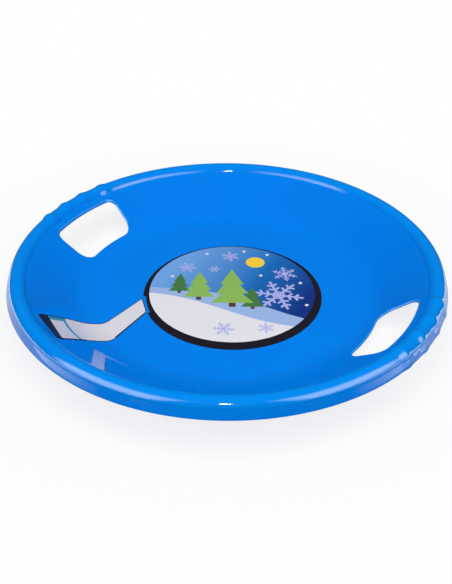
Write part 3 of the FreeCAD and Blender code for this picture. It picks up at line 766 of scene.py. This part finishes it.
# Floor: a round white board, about twice as wide as the dish. What looks straight at it sees white, with
# the soft shadow of the dish on it, and it fades into the white behind at its edge. In the gloss of the
# dish it is white close by at both sides of the picture, and dark in front, behind and further out.
board_radius = 0.62
board_drop = 0.0004
board_white = (0.85, 0.85, 0.86, 1)
board_rough = 0.9
shadow_fade = 0.36
shadow_white = 0.82
dark_half, dark_fade = 0.28, 0.08
mirror_near, mirror_far = 0.46, 0.53
bpy.ops.mesh.primitive_circle_add(vertices=96, radius=board_radius, fill_type="NGON",
                                  location=(0, 0, -board_drop))
board = bpy.context.object
board.name = "studio_board"
bpy.ops.object.transform_apply(location=True, rotation=False, scale=False)


def seen_straight(looks):
    return either(looks.outputs["Is Camera Ray"], looks.outputs["Is Transmission Ray"])


finish, tree, shader, coords = new_finish("pale_board")
shader.inputs["Base Color"].default_value = board_white
shader.inputs["Roughness"].default_value = board_rough
shader.inputs["Specular IOR Level"].default_value = 0.0
white = tree.nodes.new("ShaderNodeEmission")
length = tree.nodes.new("ShaderNodeVectorMath")
length.operation = "LENGTH"
link(coords, length.inputs[0])
from_middle = length.outputs["Value"]
# Turned as the print is, X runs across the picture.
turned = tree.nodes.new("ShaderNodeMapping")
turned.vector_type = "TEXTURE"
turned.inputs["Rotation"].default_value = (0, 0, print_turn)
link(coords, turned.inputs["Vector"])
off_centre = calc("ABSOLUTE", axes(turned.outputs["Vector"])["X"])
looks = tree.nodes.new("ShaderNodeLightPath")
straight = seen_straight(looks)
in_gloss = looks.outputs["Is Glossy Ray"]
at_side = spread(off_centre, 0.0, 1.0, dark_half, dark_half + dark_fade)
near_dish = spread(from_middle, 1.0, 0.0, mirror_near, mirror_far)
link(either(straight, both(in_gloss, at_side, near_dish)), white.inputs["Strength"])
faded = spread(from_middle, shadow_white, 1.0, shadow_fade, board_radius)
mixed = tree.nodes.new("ShaderNodeMixShader")
link(either(both(straight, faded), in_gloss), mixed.inputs["Fac"])
link(shader.outputs["BSDF"], mixed.inputs[1])
link(white.outputs["Emission"], mixed.inputs[2])
link(mixed.outputs["Shader"], tree.nodes["Material Output"].inputs["Surface"])
board.data.materials.append(finish)

# Room: a dark studio round the board. It is plain white to whatever looks straight past the board, so
# the picture has a white ground, and nearly black in the gloss of the dish.
room_dark = (0.03, 0.03, 0.03, 1)
room_white = (1, 1, 1, 1)
room = bpy.data.worlds.new("studio_room")
bpy.context.scene.world = room
room.use_nodes = True
tree = room.node_tree
dim = tree.nodes["Background"]
dim.inputs["Color"].default_value = room_dark
bright = tree.nodes.new("ShaderNodeBackground")
bright.inputs["Color"].default_value = room_white
mixed = tree.nodes.new("ShaderNodeMixShader")
link(seen_straight(tree.nodes.new("ShaderNodeLightPath")), mixed.inputs["Fac"])
link(dim.outputs["Background"], mixed.inputs[1])
link(bright.outputs["Background"], mixed.inputs[2])
link(mixed.outputs["Shader"], tree.nodes["World Output"].inputs["Surface"])

# Lamps: a wide soft light overhead that shows in no reflection, and five that only shine in the gloss:
# an upright soft box on each side of the camera, a low card on each side of the dish, and a small lamp
# above and behind the camera.
target = Vector((0, 0, 0.05))
camera_bearing = -58.6


def lamp(name, bearing, elevation, away, width, tall, radiance):
    # A soft box at a bearing about Z, aimed at the dish. Its power follows from how bright it looks.
    light = bpy.data.lights.new(name, "AREA")
    light.shape = "RECTANGLE"
    light.size, light.size_y = width, tall
    light.energy = radiance * math.pi * width * tall
    holder = bpy.data.objects.new(name, light)
    bpy.context.scene.collection.objects.link(holder)
    rise = math.radians(elevation)
    towards = plan(math.cos(rise), math.radians(bearing)) + Vector((0, 0, math.sin(rise)))
    holder.location = target + away * towards
    holder.rotation_mode = "QUATERNION"
    holder.rotation_quaternion = towards.to_track_quat("Z", "Y")
    return holder


def soften(holder, aside, above):
    # Fades a lamp towards its four sides, each over a share of its width or height.
    holder.data.use_nodes = True
    tree = holder.data.node_tree
    face = axes(tree.nodes.new("ShaderNodeNewGeometry").outputs["Parametric"])
    fades = []
    for name, edge in (("X", aside), ("Y", above)):
        off_middle = calc("ABSOLUTE", calc("SUBTRACT", face[name], 0.5))
        fades.append(spread(off_middle, 1.0, 0.0, 0.5 - edge, 0.5))
    link(both(*fades), tree.nodes["Emission"].inputs["Strength"])


overhead = lamp("overhead", camera_bearing, 72, away=2.5, width=4.6, tall=4.6, radiance=2.0)
overhead.visible_glossy = False
soft_right = lamp("soft_box_right", -3.5, 27, away=1.5, width=1.59, tall=1.8, radiance=6.0)
soft_left = lamp("soft_box_left", -111.3, 27, away=1.5, width=1.58, tall=1.8, radiance=6.0)
low_right = lamp("low_card_right", 22.9, -3.8, away=0.45, width=0.72, tall=0.06, radiance=2.6)
low_left = lamp("low_card_left", -140.1, -3.8, away=0.45, width=0.72, tall=0.06, radiance=2.6)
star = lamp("camera_lamp", camera_bearing, 43.3, away=2.8, width=0.28, tall=0.28, radiance=200.0)
soften(soft_right, aside=0.19, above=0.32)
soften(soft_left, aside=0.17, above=0.32)
soften(low_right, aside=0.23, above=0.05)
soften(low_left, aside=0.23, above=0.05)
soften(star, aside=0.40, above=0.40)
for shining in (soft_right, soft_left, low_right, low_left, star):
    shining.visible_diffuse = False

# Camera: where the photograph was taken from, with its slight roll. The length of its lens is given in
# pixels, as is the long side of the picture.
eye = Vector((0.45746, -0.74783, 0.62233))
forward = Vector((-0.42674, 0.69639, -0.57700))
level_right = Vector((0.85081, 0.52546, 0.00494))
lens_pixels = 752.12
long_side = 584
sensor_side = 36.0
picture_shift = -0.0011
view = bpy.data.cameras.new("view")
view.sensor_width = sensor_side
view.lens = lens_pixels / long_side * sensor_side
view.shift_x = picture_shift
camera = bpy.data.objects.new("view", view)
bpy.context.scene.collection.objects.link(camera)
back = -forward.normalized()
up = back.cross(level_right).normalized()
right = up.cross(back)
camera.matrix_world = Matrix.Translation(eye) @ Matrix((right, up, back)).transposed().to_4x4()
bpy.context.scene.camera = camera
bpy.context.scene.view_settings.view_transform = "Standard"
